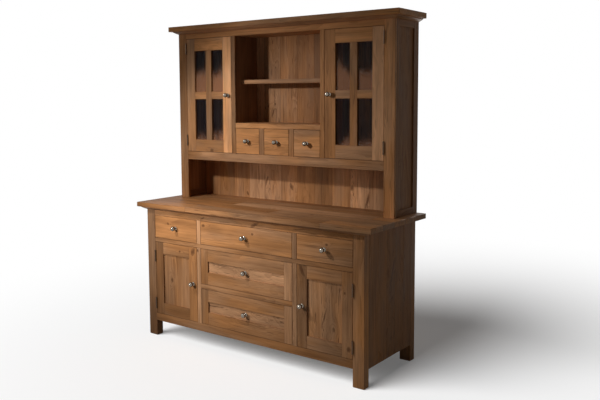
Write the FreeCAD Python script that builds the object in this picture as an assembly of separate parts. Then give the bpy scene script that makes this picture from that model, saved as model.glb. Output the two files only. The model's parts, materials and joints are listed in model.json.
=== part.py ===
"""Dresser with a hutch, in solid rustic pine, built the way a joiner builds it.

The base has four square legs, a tenoned front frame, tongued side and back planks, three shallow
drawers in a row, two deep drawers with framed fronts and two panelled doors. The hutch stands on
the worktop: an open niche, two glazed doors, a shelved compartment and three small drawers.
X is the width, the front looks towards -Y and Z is up. The origin is the centre of the whole
object's footprint, on the floor. All sizes are in millimetres.
"""
import FreeCAD
import Part
import math
import os
from FreeCAD import Vector

# ---- overall sizes ----
base_width = 1690.0
base_depth = 588.0
worktop_height = 900.0
total_height = 2074.0
hutch_depth = 282.0

# ---- worktop, cornice and the moulding under both ----
worktop_thick = 30.0
worktop_side = 60.0
worktop_front = 36.0
worktop_back = 17.0
worktop_piece = 1035.0
worktop_joints = (-458.0, 120.0, -290.0, 330.0, -120.0)
worktop_ease = 3.0
cornice_thick = 32.0
cornice_over = 49.0
cornice_ease = 2.0
moulding_reach = 28.0
moulding_height = 18.0
moulding_lip = 3.0
cove_reach = 0.42
cove_rise = 0.36

# ---- base frame ----
leg_width = 72.0
leg_depth = 50.0
foot_height = 104.0
foot_chamfer = 3.0
rail_thick = 22.0
bottom_rail = 51.0
drawer_rail = 30.0
mid_rail = 26.0
top_rail = 52.0
top_drawer_opening = 150.0
muntin_width = 32.0
centre_opening = 722.0

# ---- boards and planks ----
side_plank_thick = 20.0
side_planks = 5
back_plank_thick = 12.0
base_back_planks = 12
base_back_setback = 22.0
board_thick = 18.0
dust_thick = 12.0
cleat = 20.0
guide_height = 20.0
runner_width = 27.0
base_shelf_setback = 80.0
tongue = 6.0

# ---- hutch ----
hutch_frame_thick = 18.0
hutch_stile = 70.0
hutch_top_rail = 52.0
hutch_low_rail = 56.0
niche_height = 268.0
mullion_width = 32.0
compartment_width = 672.0
compartment_rail = 33.0
small_drawer_opening = 169.0
small_muntin = 37.5
side_frame_thick = 24.0
side_front_stile = 28.0
side_back_stile = 56.0
side_top_rail = 57.0
side_low_rail = 40.0
hutch_back_setback = 40.0
hutch_plank_thick = 15.0
hutch_planks = 12
back_batten_thick = 22.0
back_batten_height = 60.0
shelf_thick = 26.0
shelf_setback = 60.0
shelf_top_height = 1706.0
shelf_housing = 6.0
cupboard_shelf_thick = 20.0
cupboard_shelf_setback = 40.0

# ---- doors ----
door_gap = 2.0
base_door_thick = 22.0
base_door_stile = 70.0
base_door_top = 77.0
base_door_bottom = 74.0
hutch_door_thick = 20.0
hutch_door_stile = 75.0
hutch_door_top = 82.0
hutch_door_bottom = 81.0
glazing_bar = 50.0
glass_thick = 4.0
glass_setback = 10.0
rebate = 6.0
glass_clear = 1.0
panel_setback = 8.0
panel_thick = 8.0
groove_depth = 7.0
tenon_long = 28.0
tenon_short = 14.0
tenon_shoulder = 6.0
muntin_end_gap = 1.0

# ---- drawers ----
drawer_front_thick = 22.0
drawer_run_gap = 0.3
drawer_side_thick = 12.0
drawer_bottom_thick = 6.0
drawer_bottom_lift = 10.0
drawer_top_drop = 14.0
base_drawer_clear = 32.0
small_drawer_clear = 20.0
deep_front_stile = 58.0
deep_front_rail = 78.0
box_front_thick = 15.0
dovetail_lap = 7.0
tail_pitch = 38.0
tail_slope = 0.14
tail_neck = 0.27

# ---- metalwork ----
knob_reach = 38.0
knob_ball = 15.0
knob_rose = 12.0
knob_rose_edge = 1.5
knob_rose_rise = 5.0
knob_neck = 5.5
door_knob_inset = 33.0
base_knob_rise = 4.0
hinge_length = 75.0
hinge_radius = 4.5
hinge_leaf_thick = 1.5
hinge_leaf_depth = 18.0
hinge_face_gap = 0.2
hinge_end_gap = 0.3
hinge_tab = 2.5
hinge_pin = 2.2
pin_clear = 0.05
base_hinge_low = 70.0
base_hinge_high = 98.0
hutch_hinge_low = 76.0
hutch_hinge_high = 65.0
catch_size = (40.0, 24.0, 30.0)
catch_gap = 0.3

touching = 0.01

# ---- planes and levels that the pieces share ----
front_reach = max(worktop_front, knob_reach)
depth_total = front_reach + base_depth + worktop_back
face_y = front_reach - depth_total / 2
back_y = depth_total / 2
base_back_y = face_y + base_depth
base_planks_y = base_back_y - base_back_setback - back_plank_thick
hutch_face_y = back_y - hutch_depth
hutch_planks_y = back_y - hutch_back_setback - hutch_plank_thick

half_width = base_width / 2
leg_inner = half_width - leg_width
plank_inner = half_width - side_plank_thick
frame_inner = half_width - side_frame_thick
centre_half = centre_opening / 2
muntin_outer = centre_half + muntin_width
muntin_mid = centre_half + muntin_width / 2
partition_in = muntin_mid - board_thick / 2
partition_out = muntin_mid + board_thick / 2
rails_back = face_y + rail_thick

worktop_under = worktop_height - worktop_thick
top_open_top = worktop_under - top_rail
top_open_low = top_open_top - top_drawer_opening
low_open_top = top_open_low - mid_rail
low_open_low = foot_height + bottom_rail
deep_opening = (low_open_top - low_open_low - drawer_rail) / 2
deep_rail_low = low_open_low + deep_opening
deep_rail_top = deep_rail_low + drawer_rail
floor_low = low_open_low - board_thick
dust_low = top_open_low - dust_thick

cornice_low = total_height - cornice_thick
hutch_open_top = cornice_low - hutch_top_rail
hutch_rail_low = worktop_height + niche_height
hutch_open_low = hutch_rail_low + hutch_low_rail
small_open_top = hutch_open_low + small_drawer_opening
compartment_low = small_open_top + compartment_rail
compartment_half = compartment_width / 2
mullion_outer = compartment_half + mullion_width
hutch_leg_inner = half_width - hutch_stile
hutch_rails_back = hutch_face_y + hutch_frame_thick
hutch_partition_out = compartment_half + board_thick
catch_y = max(rail_thick, base_door_thick) + catch_gap
base_drawer_depth = base_planks_y - face_y - drawer_front_thick - base_drawer_clear
small_drawer_depth = hutch_planks_y - hutch_face_y - drawer_front_thick - small_drawer_clear
glazing_mid = (hutch_open_low + hutch_open_top + hutch_door_bottom - hutch_door_top) / 2

nodes = {}


# ---- helpers ----
def keep(name, *solids):
    """Adds solids to the node of that name."""
    nodes.setdefault(name, []).extend(solids)


def board(x, y, z):
    """A square-edged board from three pairs of limits, given in either order."""
    (x0, x1), (y0, y1), (z0, z1) = sorted(x), sorted(y), sorted(z)
    return Part.makeBox(x1 - x0, y1 - y0, z1 - z0, Vector(x0, y0, z0))


def both(x):
    """A pair of x limits on the right, and the same pair on the left."""
    return [tuple(side * v for v in x) for side in (-1, 1)]


def joined(solid, *pieces):
    """One solid from a piece and what is glued to it."""
    return solid.fuse(list(pieces)).removeSplitter().Solids[0]


def cut(solid, tools):
    """The solid with the tools' shapes taken out of it."""
    return solid.cut(list(tools)).Solids[0] if tools else solid


def prism(points, direction):
    """A straight extrusion of a closed outline."""
    outline = Part.makePolygon([Vector(*p) for p in points + points[:1]])
    return Part.Face(outline).extrude(Vector(*direction))


def tenoned(x, y, z, along, length, ends=(True, True)):
    """A member from its shoulder limits, with a centred tenon on its ends along "x", "y" or "z"."""
    spans = [sorted(x), sorted(y), sorted(z)]
    axis = "xyz".index(along)
    thin = min((i for i in range(3) if i != axis), key=lambda i: spans[i][1] - spans[i][0])
    wide = 3 - axis - thin
    third = (spans[thin][1] - spans[thin][0]) / 3
    tenons = []
    for end, wanted in zip((0, 1), ends):
        if not wanted:
            continue
        t = [None, None, None]
        shoulder = spans[axis][end]
        t[axis] = (shoulder, shoulder + (length if end else -length))
        t[thin] = (spans[thin][0] + third, spans[thin][1] - third)
        t[wide] = (spans[wide][0] + tenon_shoulder, spans[wide][1] - tenon_shoulder)
        tenons.append(board(*t))
    return joined(board(*spans), *tenons) if tenons else board(*spans)


def planks(start, end, count, place, end_tongues):
    """Tongued and grooved planks side by side; place(a, b, inner) makes the board from a to b."""
    pitch = (end - start) / count
    made = []
    for i in range(count):
        a, b = start + i * pitch, start + (i + 1) * pitch
        plank = place(a, b, False)
        if i < count - 1 or end_tongues:
            plank = joined(plank, place(b, b + tongue, True))
        if i == 0 and end_tongues:
            plank = joined(plank, place(a - tongue, a, True))
        if i > 0:
            plank = cut(plank, [place(a, a + tongue, True)])
        made.append(plank)
    return made


def mitred_strips(x, y, z, width):
    """Four strips round a rectangle, mitred at its corners."""
    outer = [(x[0], z[0]), (x[1], z[0]), (x[1], z[1]), (x[0], z[1])]
    inner = [(x[0] + width, z[0] + width), (x[1] - width, z[0] + width),
             (x[1] - width, z[1] - width), (x[0] + width, z[1] - width)]
    strips = []
    for i, j in ((0, 1), (1, 2), (2, 3), (3, 0)):
        outline = (outer[i], outer[j], inner[j], inner[i])
        strips.append(prism([(px, y[0], pz) for px, pz in outline], (0, y[1] - y[0], 0)))
    return strips


# ---- base ----
def leg_boxes():
    """The four legs before their joints are cut, front pair first."""
    pairs = ((face_y, face_y + leg_depth), (base_back_y - leg_depth, base_back_y))
    return [board(x, y, (0, worktop_under)) for y in pairs for x in both((leg_inner, half_width))]


def base_front_rails():
    """Top, middle and bottom rails between the legs, and the short rail between the deep drawers."""
    y = (face_y, rails_back)
    levels = ((top_open_top, worktop_under), (top_open_low, low_open_top), (foot_height, low_open_low))
    for z in levels:
        keep("base_front_rails", tenoned((-leg_inner, leg_inner), y, z, "x", tenon_long))
    z = (deep_rail_low, deep_rail_top)
    keep("base_front_rails", tenoned((-centre_half, centre_half), y, z, "x", tenon_short))


def base_muntins():
    """The uprights beside the centre drawers, tenoned into the rails above and below."""
    y = (face_y, rails_back)
    for x in both((centre_half, muntin_outer)):
        for z in ((low_open_low, low_open_top), (top_open_low, top_open_top)):
            keep("base_muntins", tenoned(x, y, z, "z", mid_rail / 2 - muntin_end_gap))


def base_sides():
    """Flush vertical planks between the front and back legs, tongued into them."""
    third = side_plank_thick / 3
    for side in (-1, 1):

        def place(a, b, inner, side=side):
            inset = third if inner else 0
            x = (side * (plank_inner + inset), side * (half_width - inset))
            return board(x, (a, b), (foot_height, worktop_under))

        start, end = face_y + leg_depth, base_back_y - leg_depth
        keep("base_side_planks", *planks(start, end, side_planks, place, True))


def base_back():
    """Back planks on the inside of a top and a bottom rail."""
    third = back_plank_thick / 3

    def place(a, b, inner):
        inset = third if inner else 0
        y = (base_planks_y + inset, base_planks_y + back_plank_thick - inset)
        return board((a, b), y, (floor_low, worktop_under))

    keep("base_back", *planks(-leg_inner, leg_inner, base_back_planks, place, False))
    y = (base_planks_y + back_plank_thick, base_planks_y + back_plank_thick + rail_thick)
    for z in ((foot_height, low_open_low), (top_open_top, worktop_under)):
        keep("base_back", tenoned((-leg_inner, leg_inner), y, z, "x", tenon_long))


def base_carcase():
    """Floor, upright partitions and the dust boards that the shallow drawers run on."""
    y = (rails_back, base_planks_y)
    legs = leg_boxes()
    floor = board((-plank_inner, plank_inner), y, (floor_low, low_open_low))
    keep("base_carcase_boards", cut(floor, legs))
    for side in (-1, 1):
        x = (side * plank_inner, side * (plank_inner - cleat))
        ends = (face_y + leg_depth, base_back_y - leg_depth)
        keep("base_carcase_boards", board(x, ends, (floor_low - cleat, floor_low)))
    for x in both((partition_in, partition_out)):
        keep("base_carcase_boards", board(x, y, (low_open_low, worktop_under)))
        side_x = (math.copysign(partition_out, x[0]), math.copysign(plank_inner, x[0]))
        keep("base_drawer_runners", cut(board(side_x, y, (dust_low, top_open_low)), legs))
    keep("base_drawer_runners", board((-partition_in, partition_in), y, (dust_low, top_open_low)))


def base_runners():
    """Guides beside every base drawer, kickers over the top row, runners under the upper deep one."""
    y = (rails_back, base_planks_y)
    between_legs = (face_y + leg_depth, base_back_y - leg_depth)
    name = "base_drawer_runners"
    for side in (-1, 1):
        inner = (side * centre_half, side * partition_in)
        outer = (side * partition_out, side * muntin_outer)
        by_leg = (side * leg_inner, side * (leg_inner + cleat))
        low = (low_open_low, low_open_low + guide_height)
        over = (top_open_low, top_open_low + guide_height)
        keep(name, board(inner, y, low), board(inner, y, over), board(outer, y, over))
        keep(name, board(by_leg, between_legs, over))
        kicker = (top_open_top, top_open_top + cleat)
        keep(name, board((inner[1], inner[1] - side * cleat), y, kicker))
        keep(name, board((outer[0], outer[0] + side * cleat), y, kicker))
        runner = (side * (partition_in - runner_width), side * partition_in)
        keep(name, board(runner, y, (deep_rail_low, deep_rail_top)))
        keep(name, board(inner, y, (deep_rail_top, deep_rail_top + guide_height)))


def base_shelves():
    """One shelf on two cleats in each cupboard."""
    legs = leg_boxes()
    mid = (low_open_low + dust_low) / 2
    front = face_y + base_shelf_setback
    z = (mid - board_thick / 2, mid + board_thick / 2)
    under = (z[0] - cleat, z[0])
    for side in (-1, 1):
        x = (side * partition_out, side * plank_inner)
        keep("base_shelves", cut(board(x, (front, base_planks_y), z), legs))
        by_partition = (x[0], x[0] + side * cleat)
        by_planks = (x[1], x[1] - side * cleat)
        keep("base_shelves", board(by_partition, (front, base_planks_y), under))
        keep("base_shelves", board(by_planks, (front, base_back_y - leg_depth), under))


# ---- worktop, cornice and mouldings ----
def worktop():
    """Edge-glued boards in staggered lengths, with the three outer edges eased."""
    x_half = half_width + worktop_side
    y0, y1 = face_y - worktop_front, back_y
    slab = board((-x_half, x_half), (y0, y1), (worktop_under, worktop_height))
    upper = [e for e in slab.Edges if all(abs(v.Z - worktop_height) < touching for v in e.Vertexes)]
    outer = [e for e in upper if e.CenterOfMass.y < y1 - 1]
    slab = slab.makeFillet(worktop_ease, outer)
    pitch = (y1 - y0) / len(worktop_joints)
    for i, joint in enumerate(worktop_joints):
        inside = [x for x in (joint - worktop_piece, joint, joint + worktop_piece) if abs(x) < x_half]
        stops = [-x_half - 1] + inside + [x_half + 1]
        for a, b in zip(stops, stops[1:]):
            cell = board((a, b), (y0 + i * pitch, y0 + (i + 1) * pitch),
                         (worktop_under - 1, worktop_height + 1))
            keep("worktop", slab.common(cell).Solids[0])


def moulding(name, x_half, y_front, y_back, top):
    """A cove moulding under a top board: a front run and two side runs, mitred at the corners."""
    reach, low = moulding_reach, top - moulding_height
    lip = top - moulding_lip

    def section(place):
        start, end = place(0, low), place(reach, lip)
        middle = place(reach * cove_reach, low + (lip - low) * cove_rise)
        cove = Part.Arc(start, middle, end).toShape()
        corner = place(reach, top)
        back = place(0, top)
        lines = [Part.makeLine(p, q) for p, q in ((end, corner), (corner, back), (back, start))]
        return Part.Face(Part.Wire([cove] + lines))

    z = (low - 1, top + 1)
    out, edge = x_half + reach, y_front - reach
    front = section(lambda r, h: Vector(-out, y_front - r, h)).extrude(Vector(2 * out, 0, 0))
    wedge = [(-out, edge, z[0]), (out, edge, z[0]), (x_half, y_front, z[0]), (-x_half, y_front, z[0])]
    keep(name, front.common(prism(wedge, (0, 0, z[1] - z[0]))).Solids[0])
    for side in (-1, 1):
        run = section(lambda r, h: Vector(side * (x_half + r), edge, h))
        run = run.extrude(Vector(0, y_back - edge, 0))
        wedge = [(side * out, edge, z[0]), (side * out, y_back, z[0]), (side * x_half, y_back, z[0]),
                 (side * x_half, y_front, z[0])]
        keep(name, run.common(prism(wedge, (0, 0, z[1] - z[0]))).Solids[0])


def cornice():
    """The cap board of the hutch, with its lower outer edges eased."""
    x_half = half_width + cornice_over
    slab = board((-x_half, x_half), (hutch_face_y - cornice_over, back_y), (cornice_low, total_height))
    outer = [e for e in slab.Edges if e.CenterOfMass.y < back_y - 1 and len(e.Vertexes) == 2
             and abs(e.Vertexes[0].Z - e.Vertexes[1].Z) < touching]
    keep("cornice_board", slab.makeFillet(cornice_ease, outer).Solids[0])


# ---- hutch ----
def hutch_face_frame():
    """Stiles, rails, mullions and the short pieces round the small drawers."""
    name, y = "hutch_face_frame", (hutch_face_y, hutch_rails_back)
    rails = [tenoned((-hutch_leg_inner, hutch_leg_inner), y, z, "x", tenon_long)
             for z in ((hutch_open_top, cornice_low), (hutch_rail_low, hutch_open_low))]
    mullions = [tenoned(x, y, (hutch_open_low, hutch_open_top), "z", tenon_short)
                for x in both((compartment_half, mullion_outer))]
    short = tenoned((-compartment_half, compartment_half), y, (small_open_top, compartment_low),
                    "x", tenon_short)
    small = [tenoned(x, y, (hutch_open_low, small_open_top), "z", tenon_short)
             for x in both(small_muntin_span())]
    stiles = [board(x, y, (worktop_height, cornice_low)) for x in both((hutch_leg_inner, half_width))]
    leaves = [s for s in hinge_mortises if s.BoundBox.ZMin > worktop_height]
    keep(name, *[cut(s, rails + leaves) for s in stiles])
    keep(name, *[cut(r, mullions + small) for r in rails])
    keep(name, *[cut(m, [short]) for m in mullions])
    keep(name, cut(short, small), *small)


def small_drawer_width():
    """Width of one opening of the three in the compartment."""
    return (compartment_width - 2 * small_muntin) / 3


def small_muntin_span():
    """x limits of the right-hand upright between the small drawers."""
    inner = small_drawer_width() / 2
    return inner, inner + small_muntin


def hutch_sides():
    """A frame and one recessed panel on each side of the hutch."""
    front = (hutch_rails_back, hutch_face_y + hutch_frame_thick + side_front_stile)
    back = (back_y - side_back_stile, back_y)
    levels = ((cornice_low - side_top_rail, cornice_low), (worktop_height, worktop_height + side_low_rail))
    for side in (-1, 1):
        x = (side * frame_inner, side * half_width)
        between = (front[1], back[0])
        rails = [tenoned(x, between, z, "y", tenon_short) for z in levels]
        outer = side * (half_width - panel_setback)
        panel = board((outer, outer - side * panel_thick),
                      (between[0] - groove_depth, between[1] + groove_depth),
                      (levels[1][1] - groove_depth, levels[0][0] + groove_depth))
        stiles = [board(x, y, (worktop_height, cornice_low)) for y in (front, back)]
        keep("hutch_side_frames", *[cut(s, rails + [panel]) for s in stiles])
        keep("hutch_side_frames", *[cut(r, [panel]) for r in rails])
        keep("hutch_side_panels", panel)


def hutch_back():
    """Tongued back planks from the worktop to the cornice, with battens behind them."""
    third = hutch_plank_thick / 3

    def place(a, b, inner):
        inset = third if inner else 0
        y = (hutch_planks_y + inset, hutch_planks_y + hutch_plank_thick - inset)
        return board((a, b), y, (worktop_height, cornice_low))

    keep("hutch_back", *planks(-frame_inner, frame_inner, hutch_planks, place, False))
    y = (hutch_planks_y + hutch_plank_thick, hutch_planks_y + hutch_plank_thick + back_batten_thick)
    middle = (worktop_height + cornice_low - back_batten_height) / 2
    for low in (worktop_height, middle, cornice_low - back_batten_height):
        z = (low, low + back_batten_height)
        keep("hutch_back", board((-frame_inner, frame_inner), y, z))


def hutch_boards():
    """Top board, floor, compartment floor, upright partitions and the small drawers' dividers."""
    name, y = "hutch_carcase_boards", (hutch_rails_back, hutch_planks_y)
    full = (-frame_inner, frame_inner)
    keep(name, board(full, y, (hutch_open_low - board_thick, hutch_open_low)))
    keep(name, board(full, y, (hutch_open_top, hutch_open_top + board_thick)))
    inside = (-compartment_half, compartment_half)
    keep(name, board(inside, y, (compartment_low - board_thick, compartment_low)))
    shelf = centre_shelf()
    for x in both((compartment_half, hutch_partition_out)):
        upright = board(x, y, (hutch_open_low, hutch_open_top))
        keep("hutch_carcase_boards", cut(upright, [shelf]))
    a, b = small_muntin_span()
    mid = (a + b) / 2
    for side in (-1, 1):
        faces = (side * (mid - board_thick / 2), side * (mid + board_thick / 2))
        keep("hutch_carcase_boards", board(faces, y, (hutch_open_low, compartment_low - board_thick)))
        low = (hutch_open_low, hutch_open_low + guide_height)
        keep("hutch_carcase_boards", board((side * a, faces[0]), y, low))
        keep("hutch_carcase_boards", board((faces[1], side * b), y, low))


def centre_shelf():
    """The open compartment's shelf, housed into the partitions at both ends."""
    reach = compartment_half + shelf_housing
    y = (hutch_face_y + shelf_setback, hutch_planks_y)
    return board((-reach, reach), y, (shelf_top_height - shelf_thick, shelf_top_height))


def hutch_shelves():
    """The compartment's shelf, and one on cleats behind the glazing bars of each glazed cupboard."""
    keep("hutch_shelves", centre_shelf())
    z = (glazing_mid - cupboard_shelf_thick / 2, glazing_mid + cupboard_shelf_thick / 2)
    y = (hutch_face_y + cupboard_shelf_setback, hutch_planks_y)
    under = (z[0] - cleat, z[0])
    for side in (-1, 1):
        x = (side * hutch_partition_out, side * frame_inner)
        keep("hutch_shelves", board(x, y, z))
        keep("hutch_shelves", board((x[0], x[0] + side * board_thick), y, under))
        keep("hutch_shelves", board((x[1], x[1] - side * board_thick), y, under))


# ---- metalwork ----
def knob(name, x, y, z):
    """A turned ball knob standing out of a face towards -Y."""
    centre = knob_reach - knob_ball
    meet = centre - math.sqrt(knob_ball ** 2 - knob_neck ** 2)
    points = [(0, 0), (knob_rose, 0), (knob_rose, knob_rose_edge), (knob_neck, knob_rose_rise),
              (knob_neck, meet)]
    spots = [Vector(r, -d, 0) for r, d in points]
    edges = [Part.makeLine(p, q) for p, q in zip(spots, spots[1:])]
    tip = Vector(0, -knob_reach, 0)
    edges.append(Part.Arc(spots[-1], Vector(knob_ball, -centre, 0), tip).toShape())
    edges.append(Part.makeLine(tip, spots[0]))
    turned = Part.Face(Part.Wire(edges)).revolve(Vector(0, 0, 0), Vector(0, 1, 0), 360)
    turned.translate(Vector(x, y, z))
    keep(name, turned)


def hinge(edge, side, y_face, z):
    """A butt hinge in the gap at x = edge: (fixed leaf with pin, moving leaf, two mortise shapes)."""
    axis = Vector(edge - side * door_gap / 2, y_face - hinge_radius - hinge_face_gap, 0)
    ends = [z - hinge_length / 2 + i * hinge_length / 3 for i in range(4)]
    leaf_y = (y_face, y_face + hinge_leaf_depth)

    def barrel(radius, low, high):
        return Part.makeCylinder(radius, high - low, Vector(axis.x, axis.y, low))

    def tab(x, low, high):
        return board(x, (y_face - hinge_tab, y_face), (low, high))

    fixed_x = (edge, edge + side * hinge_leaf_thick)
    moving_x = (edge - side * door_gap, edge - side * (door_gap + hinge_leaf_thick))
    fixed_plate = board(fixed_x, leaf_y, (ends[0], ends[3]))
    moving_plate = board(moving_x, leaf_y, (ends[0], ends[3]))
    fixed = joined(fixed_plate, tab(fixed_x, ends[0], ends[1]), tab(fixed_x, ends[2], ends[3]),
                   barrel(hinge_radius, ends[0], ends[1]), barrel(hinge_radius, ends[2], ends[3]),
                   barrel(hinge_pin, ends[0], ends[3]))
    low, high = ends[1] + hinge_end_gap, ends[2] - hinge_end_gap
    moving = joined(moving_plate, tab(moving_x, low, high), barrel(hinge_radius, low, high))
    moving = cut(moving, [barrel(hinge_pin + pin_clear, ends[0], ends[3])])
    return fixed, moving, fixed_plate, moving_plate


hinge_mortises = []
door_hinges = {}


def hinge_pair(name, edge, side, y_face, levels):
    """Two hinges of one door: the fixed leaves go to the frame, the moving ones to the door."""
    plates = []
    for z in levels:
        fixed, moving, fixed_plate, moving_plate = hinge(edge, side, y_face, z)
        keep("hinge_frame_leaves", fixed)
        keep(name + "_hinges", moving)
        hinge_mortises.append(fixed_plate)
        plates.append(moving_plate)
    door_hinges[name] = plates


def catches():
    """A block catch at the top of each cupboard, just behind the door's opening edge."""
    width, depth, height = catch_size
    for side in (-1, 1):
        x = side * (muntin_outer + cleat)
        y = face_y + catch_y
        keep("door_catches", board((x, x + side * width), (y, y + depth), (dust_low - height, dust_low)))
        x = side * (mullion_outer + cleat)
        y = hutch_face_y + hutch_door_thick + catch_gap
        z = (hutch_open_top - height, hutch_open_top)
        keep("door_catches", board((x, x + side * width), (y, y + depth), z))


# ---- doors ----
def frame_members(x, y, z, stile, top, bottom):
    """Two full-height stiles and the two rails tenoned between them, as (stiles, rails)."""
    (x0, x1), (z0, z1) = sorted(x), sorted(z)
    inner = (x0 + stile, x1 - stile)
    rails = [tenoned(inner, y, (z1 - top, z1), "x", tenon_long),
             tenoned(inner, y, (z0, z0 + bottom), "x", tenon_long)]
    stiles = [board((x0, x0 + stile), y, z), board((x1 - stile, x1), y, z)]
    return [cut(s, rails) for s in stiles], rails


def panel_in(x, y_face, z):
    """A flat panel set back in its frame, reaching into the groove on all four sides."""
    (x0, x1), (z0, z1) = sorted(x), sorted(z)
    y = (y_face + panel_setback, y_face + panel_setback + panel_thick)
    return board((x0 - groove_depth, x1 + groove_depth), y, (z0 - groove_depth, z1 + groove_depth))


def base_door(name, side):
    """A panelled door of the base, hung on the outer leg."""
    x = (side * (muntin_outer + door_gap), side * (leg_inner - door_gap))
    z = (low_open_low + door_gap, low_open_top - door_gap)
    y = (face_y, face_y + base_door_thick)
    levels = (low_open_low + base_hinge_low, low_open_top - base_hinge_high)
    hinge_pair(name, side * leg_inner, side, face_y, levels)
    stiles, rails = frame_members(x, y, z, base_door_stile, base_door_top, base_door_bottom)
    x0, x1 = sorted(x)
    field = (x0 + base_door_stile, x1 - base_door_stile)
    panel = panel_in(field, face_y, (z[0] + base_door_bottom, z[1] - base_door_top))
    tools = [panel] + door_hinges[name]
    keep(name + "_frame", *[cut(m, tools) for m in stiles + rails])
    keep(name + "_panel", panel)
    knob(name + "_knob", side * (muntin_outer + door_gap + base_door_stile / 2), face_y,
         (low_open_low + low_open_top) / 2 + base_knob_rise)


def hutch_door(name, side):
    """A glazed door: frame, one upright and two level bars, four panes held by beads."""
    x = (side * (mullion_outer + door_gap), side * (hutch_leg_inner - door_gap))
    z = (hutch_open_low + door_gap, hutch_open_top - door_gap)
    y0 = hutch_face_y
    y = (y0, y0 + hutch_door_thick)
    levels = (hutch_open_low + hutch_hinge_low, hutch_open_top - hutch_hinge_high)
    hinge_pair(name, side * hutch_leg_inner, side, y0, levels)
    stiles, rails = frame_members(x, y, z, hutch_door_stile, hutch_door_top, hutch_door_bottom)
    x0, x1 = sorted(x)
    x_in = (x0 + hutch_door_stile, x1 - hutch_door_stile)
    z_in = (z[0] + hutch_door_bottom, z[1] - hutch_door_top)
    x_bar = ((x0 + x1 - glazing_bar) / 2, (x0 + x1 + glazing_bar) / 2)
    z_bar = ((z_in[0] + z_in[1] - glazing_bar) / 2, (z_in[0] + z_in[1] + glazing_bar) / 2)
    upright = tenoned(x_bar, y, z_in, "z", tenon_short)
    level = [tenoned((x_in[0], x_bar[0]), y, z_bar, "x", tenon_short),
             tenoned((x_bar[1], x_in[1]), y, z_bar, "x", tenon_short)]
    stiles = [cut(s, level) for s in stiles]
    rails = [cut(r, [upright]) for r in rails]
    upright = cut(upright, level)
    rebates, panes, beads = [], [], []
    y_glass = y0 + glass_setback
    for xa, xb in ((x_in[0], x_bar[0]), (x_bar[1], x_in[1])):
        for za, zb in ((z_in[0], z_bar[0]), (z_bar[1], z_in[1])):
            grown_x, grown_z = (xa - rebate, xb + rebate), (za - rebate, zb + rebate)
            rebates.append(board(grown_x, (y_glass, y[1]), grown_z))
            pane_x = (grown_x[0] + glass_clear, grown_x[1] - glass_clear)
            pane_z = (grown_z[0] + glass_clear, grown_z[1] - glass_clear)
            panes.append(board(pane_x, (y_glass, y_glass + glass_thick), pane_z))
            beads += mitred_strips(grown_x, (y_glass + glass_thick, y[1]), grown_z, rebate)
    tools = rebates + door_hinges[name]
    keep(name + "_frame", *[cut(m, tools) for m in stiles + rails + [upright] + level], *beads)
    keep(name + "_glass", *panes)
    knob(name + "_knob", side * (mullion_outer + door_gap + door_knob_inset), y0, glazing_mid)


# ---- drawers ----
def drawer_side(x, y_tail, y_front, y_end, z):
    """A drawer side with dovetail tails on its front end, reaching from y_front out to y_tail."""
    count = max(2, round((z[1] - z[0]) / tail_pitch))
    pitch = (z[1] - z[0]) / count
    flare = (y_front - y_tail) * tail_slope
    outline = [(y_front, z[0])]
    for i in range(count):
        middle = z[0] + (i + 0.5) * pitch
        neck = pitch * tail_neck
        outline += [(y_front, middle - neck), (y_tail, middle - neck - flare),
                    (y_tail, middle + neck + flare), (y_front, middle + neck)]
    outline += [(y_front, z[1]), (y_end, z[1]), (y_end, z[0])]
    return prism([(x[0], py, pz) for py, pz in outline], (x[1] - x[0], 0, 0))


def drawer_box(x, z, y_front, front_thick, depth, front_z):
    """Front board, two dovetailed sides, back and grooved bottom, as (front, rest)."""
    y_tail, y_back = y_front + dovetail_lap, y_front + front_thick
    y_end = y_back + depth
    front = board(x, (y_front, y_back), front_z)
    t = drawer_side_thick
    sides = [drawer_side((x[0], x[0] + t), y_tail, y_back, y_end, z),
             drawer_side((x[1] - t, x[1]), y_tail, y_back, y_end, z)]
    low = z[0] + drawer_bottom_lift
    top = low + drawer_bottom_thick
    half = t / 2
    bottom = board((x[0] + half, x[1] - half), (y_back - half, y_end - t / 3), (low, top))
    back = board((x[0] + t, x[1] - t), (y_end - t, y_end), (top, z[1] - half))
    sides = [cut(s, [bottom]) for s in sides]
    front = cut(front, sides + [bottom])
    return front, sides + [back, bottom]


def plain_drawer(name, x, z, y_front, depth, knob_rise):
    """An inset drawer with a solid front that its sides are dovetailed into."""
    x = (x[0] + door_gap, x[1] - door_gap)
    front_z = (z[0] + door_gap, z[1] - door_gap)
    side_z = (z[0] + drawer_run_gap, z[1] - drawer_top_drop)
    front, rest = drawer_box(x, side_z, y_front, drawer_front_thick, depth, front_z)
    keep(name + "_front", front)
    keep(name + "_box", *rest)
    knob(name + "_knob", sum(x) / 2, y_front, sum(z) / 2 + knob_rise)


def deep_drawer(name, z):
    """A deep drawer: a framed and panelled front fixed to a dovetailed box."""
    x = (-centre_half + door_gap, centre_half - door_gap)
    front_z = (z[0] + door_gap, z[1] - door_gap)
    y = (face_y, face_y + drawer_front_thick)
    stiles, rails = frame_members(x, y, front_z, deep_front_stile, deep_front_rail, deep_front_rail)
    field = (x[0] + deep_front_stile, x[1] - deep_front_stile)
    panel = panel_in(field, face_y, (front_z[0] + deep_front_rail, front_z[1] - deep_front_rail))
    keep(name + "_front", *[cut(m, [panel]) for m in stiles + rails], panel)
    side_z = (z[0] + drawer_run_gap, z[1] - drawer_top_drop)
    depth = base_drawer_depth - box_front_thick
    front, rest = drawer_box(x, side_z, y[1], box_front_thick, depth, side_z)
    keep(name + "_box", front, *rest)
    knob(name + "_knob", 0, face_y + panel_setback, sum(z) / 2 + base_knob_rise)


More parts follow.
